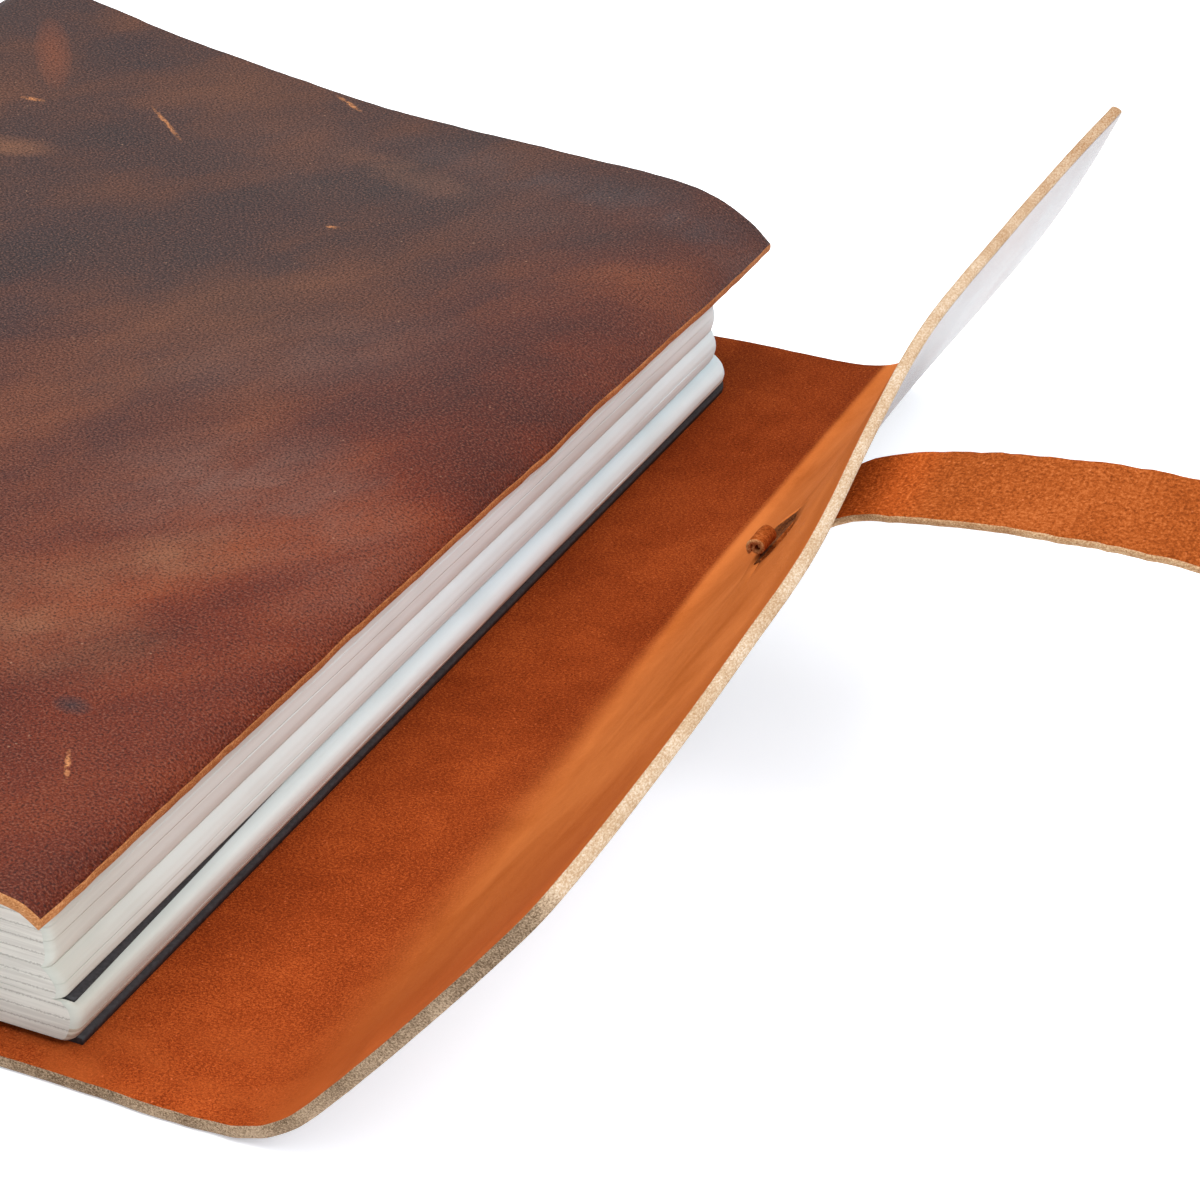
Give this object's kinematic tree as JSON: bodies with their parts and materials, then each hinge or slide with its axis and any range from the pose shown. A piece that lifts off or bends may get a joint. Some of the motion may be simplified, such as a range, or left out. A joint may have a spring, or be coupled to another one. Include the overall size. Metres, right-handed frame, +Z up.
{
  "type": "wrap-around leather notebook cover",
  "caption": "Soft leather wrap cover holding stitched notebooks, with a fold-over flap and a long strap that leaves the flap through a slit.",
  "frame": {"origin": "on the underside of the back panel, at table level, below the middle of the notebooks", "axes": "+Z up; +Y along the spine, from the near end to the far end; +X from the spine to the fore edge and the flap"},
  "size_m": [0.401, 0.23, 0.0644],
  "materials": {
    "leather_outside": "waxed pull-up leather",
    "leather_inside": "suede",
    "strap_leather": "suede",
    "card_cover": "matte",
    "paper": "matte",
    "thread": "matte",
    "elastic": "matte"
  },
  "bodies": {
    "back": {"back_panel": "leather_inside", "lower_book_card": "card_cover", "lower_book_back_leaves": "paper", "lower_book_front_leaves": "paper", "lower_book_thread": "thread", "lower_book_elastic": "elastic", "middle_book_card": "card_cover", "middle_book_back_leaves": "paper", "middle_book_front_leaves": "paper", "middle_book_thread": "thread", "middle_book_elastic": "elastic", "upper_book_back_card": "card_cover", "upper_book_back_leaves": "paper", "upper_book_thread": "thread", "upper_book_elastic": "elastic"},
    "spine": {"spine_panel": "leather_outside"},
    "front": {"front_panel": "leather_outside"},
    "turning_leaves": {"upper_book_front_card": "card_cover", "upper_book_front_leaves": "paper"},
    "strip": {"fore_edge_strip": "leather_inside"},
    "flap": {"flap": "leather_inside", "strap": "strap_leather", "strap_roll": "strap_leather", "strap_stop": "strap_leather"}
  },
  "joints": [
    {"name": "spine_fold", "type": "hinge", "parent": "back", "child": "spine", "pos_m": [-0.077, 0, 0.0018], "axis": [0, 1, 0], "range_deg": [-90, 0]},
    {"name": "front_fold", "type": "hinge", "parent": "spine", "child": "front", "pos_m": [-0.077, 0, 0.0442], "axis": [0, 1, 0], "range_deg": [-97, 0]},
    {"name": "leaf_turn", "type": "hinge", "parent": "back", "child": "turning_leaves", "pos_m": [-0.0755, 0, 0.0398], "axis": [0, 1, 0], "range_deg": [-180, 0]},
    {"name": "fore_edge_fold", "type": "hinge", "parent": "back", "child": "strip", "pos_m": [0.0756, 0, 0.0018], "axis": [0, -1, 0], "range_deg": [0, 90]},
    {"name": "flap_fold", "type": "hinge", "parent": "strip", "child": "flap", "pos_m": [0.102, 0, 0.0018], "axis": [0, -1, 0], "range_deg": [0, 25]}
  ],
  "couplings": [
    {"joint": "front_fold", "follows": "spine_fold", "ratio": 1.07},
    {"joint": "leaf_turn", "follows": "spine_fold", "ratio": 2},
    {"joint": "flap_fold", "follows": "fore_edge_fold", "ratio": 0.275}
  ]
}
